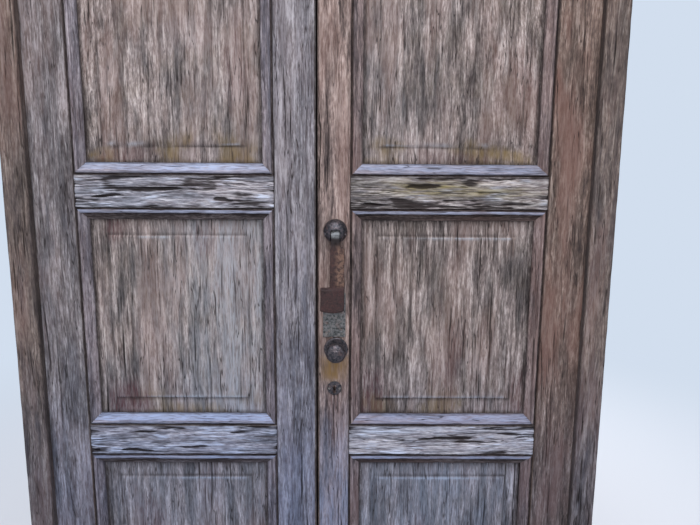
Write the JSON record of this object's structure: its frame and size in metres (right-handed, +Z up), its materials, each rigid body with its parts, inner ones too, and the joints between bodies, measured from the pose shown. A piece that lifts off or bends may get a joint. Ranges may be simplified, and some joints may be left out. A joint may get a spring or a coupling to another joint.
{
  "type": "arched double door",
  "caption": "Arched pair of weathered panelled timber leaves in a rebated frame, opening inwards, with knocker, knob, lock and bolts.",
  "frame": {"origin": "under the threshold, below the middle of the opening, in the plane of the leaves' outer faces", "axes": "+X to the right as seen from outside, +Y into the house, +Z up"},
  "size_m": [1.35, 0.133, 2.455],
  "materials": {
    "leaf_timber": "bare oak, weathered grey-brown with open grain",
    "panel_timber": "bare oak, weathered, with vertical checks",
    "moulding_timber": "bare oak moulding, silvered on its upper slopes",
    "frame_timber": "bare oak, weathered, darker than the leaves",
    "pegs": "cleft oak pegs",
    "rusted_iron": "rusted brown-red",
    "dark_iron": "dark, pitted, worn bright on its edges",
    "wrought_iron": "dark, lightly rusted",
    "bright_steel": "worn, oily"
  },
  "bodies": {
    "frame": {"left_jamb": "frame_timber", "right_jamb": "frame_timber", "left_arch_head": "frame_timber", "right_arch_head": "frame_timber", "threshold": "frame_timber", "frame_pegs": "pegs", "frame_screws": "wrought_iron", "left_hinge_frame_plates": "wrought_iron", "right_hinge_frame_plates": "wrought_iron", "left_hinge_pins": "wrought_iron", "right_hinge_pins": "wrought_iron", "top_bolt_keeper": "wrought_iron", "bottom_bolt_keeper": "wrought_iron"},
    "left_leaf": {"left_hinge_stile": "leaf_timber", "left_meeting_stile": "leaf_timber", "left_bottom_rail": "leaf_timber", "left_lower_rail": "leaf_timber", "left_upper_rail": "leaf_timber", "left_arched_rail": "leaf_timber", "left_bottom_panel": "panel_timber", "left_middle_panel": "panel_timber", "left_top_panel": "panel_timber", "left_bottom_moulding": "moulding_timber", "left_middle_moulding": "moulding_timber", "left_top_moulding": "moulding_timber", "left_leaf_pegs": "pegs", "left_leaf_screws": "wrought_iron", "left_hinge_leaf_plates": "wrought_iron", "lock_keeper": "dark_iron", "bolt_brackets": "wrought_iron"},
    "right_leaf": {"right_hinge_stile": "leaf_timber", "right_meeting_stile": "leaf_timber", "right_bottom_rail": "leaf_timber", "right_lower_rail": "leaf_timber", "right_upper_rail": "leaf_timber", "right_arched_rail": "leaf_timber", "right_bottom_panel": "panel_timber", "right_middle_panel": "panel_timber", "right_top_panel": "panel_timber", "right_bottom_moulding": "moulding_timber", "right_middle_moulding": "moulding_timber", "right_top_moulding": "moulding_timber", "right_leaf_pegs": "pegs", "right_leaf_screws": "wrought_iron", "right_hinge_leaf_plates": "wrought_iron", "knocker_boss": "dark_iron", "knocker_pin": "rusted_iron", "knocker_strike": "dark_iron", "knob_rose": "dark_iron", "pull_knob": "dark_iron", "furniture_nuts": "wrought_iron", "keyhole_escutcheon": "dark_iron", "lock_case": "dark_iron", "lock_backplate": "dark_iron"},
    "knocker": {"knocker_hammer": "rusted_iron"},
    "dead_bolt": {"dead_bolt": "bright_steel", "lock_spring": "bright_steel"},
    "top_bolt": {"top_bolt_rod": "wrought_iron"},
    "bottom_bolt": {"bottom_bolt_rod": "wrought_iron"}
  },
  "joints": [
    {"name": "left_leaf_swing", "type": "hinge", "parent": "frame", "child": "left_leaf", "pos_m": [-0.6335, 0.0518, 0], "axis": [0, 0, 1], "range_deg": [0, 100]},
    {"name": "right_leaf_swing", "type": "hinge", "parent": "frame", "child": "right_leaf", "pos_m": [0.6335, 0.0518, 0], "axis": [0, 0, -1], "range_deg": [0, 100]},
    {"name": "knocker_swing", "type": "hinge", "parent": "right_leaf", "child": "knocker", "pos_m": [0.052, -0.017, 1.258], "axis": [-1, 0, 0], "range_deg": [0, 95]},
    {"name": "dead_bolt_throw", "type": "slide", "parent": "right_leaf", "child": "dead_bolt", "axis": [-1, 0, 0], "range_m": [0, 0.022]},
    {"name": "top_bolt_slide", "type": "slide", "parent": "left_leaf", "child": "top_bolt", "axis": [0, 0, 1], "range_m": [0, 0.025]},
    {"name": "bottom_bolt_slide", "type": "slide", "parent": "left_leaf", "child": "bottom_bolt", "axis": [0, 0, -1], "range_m": [0, 0.025]}
  ]
}
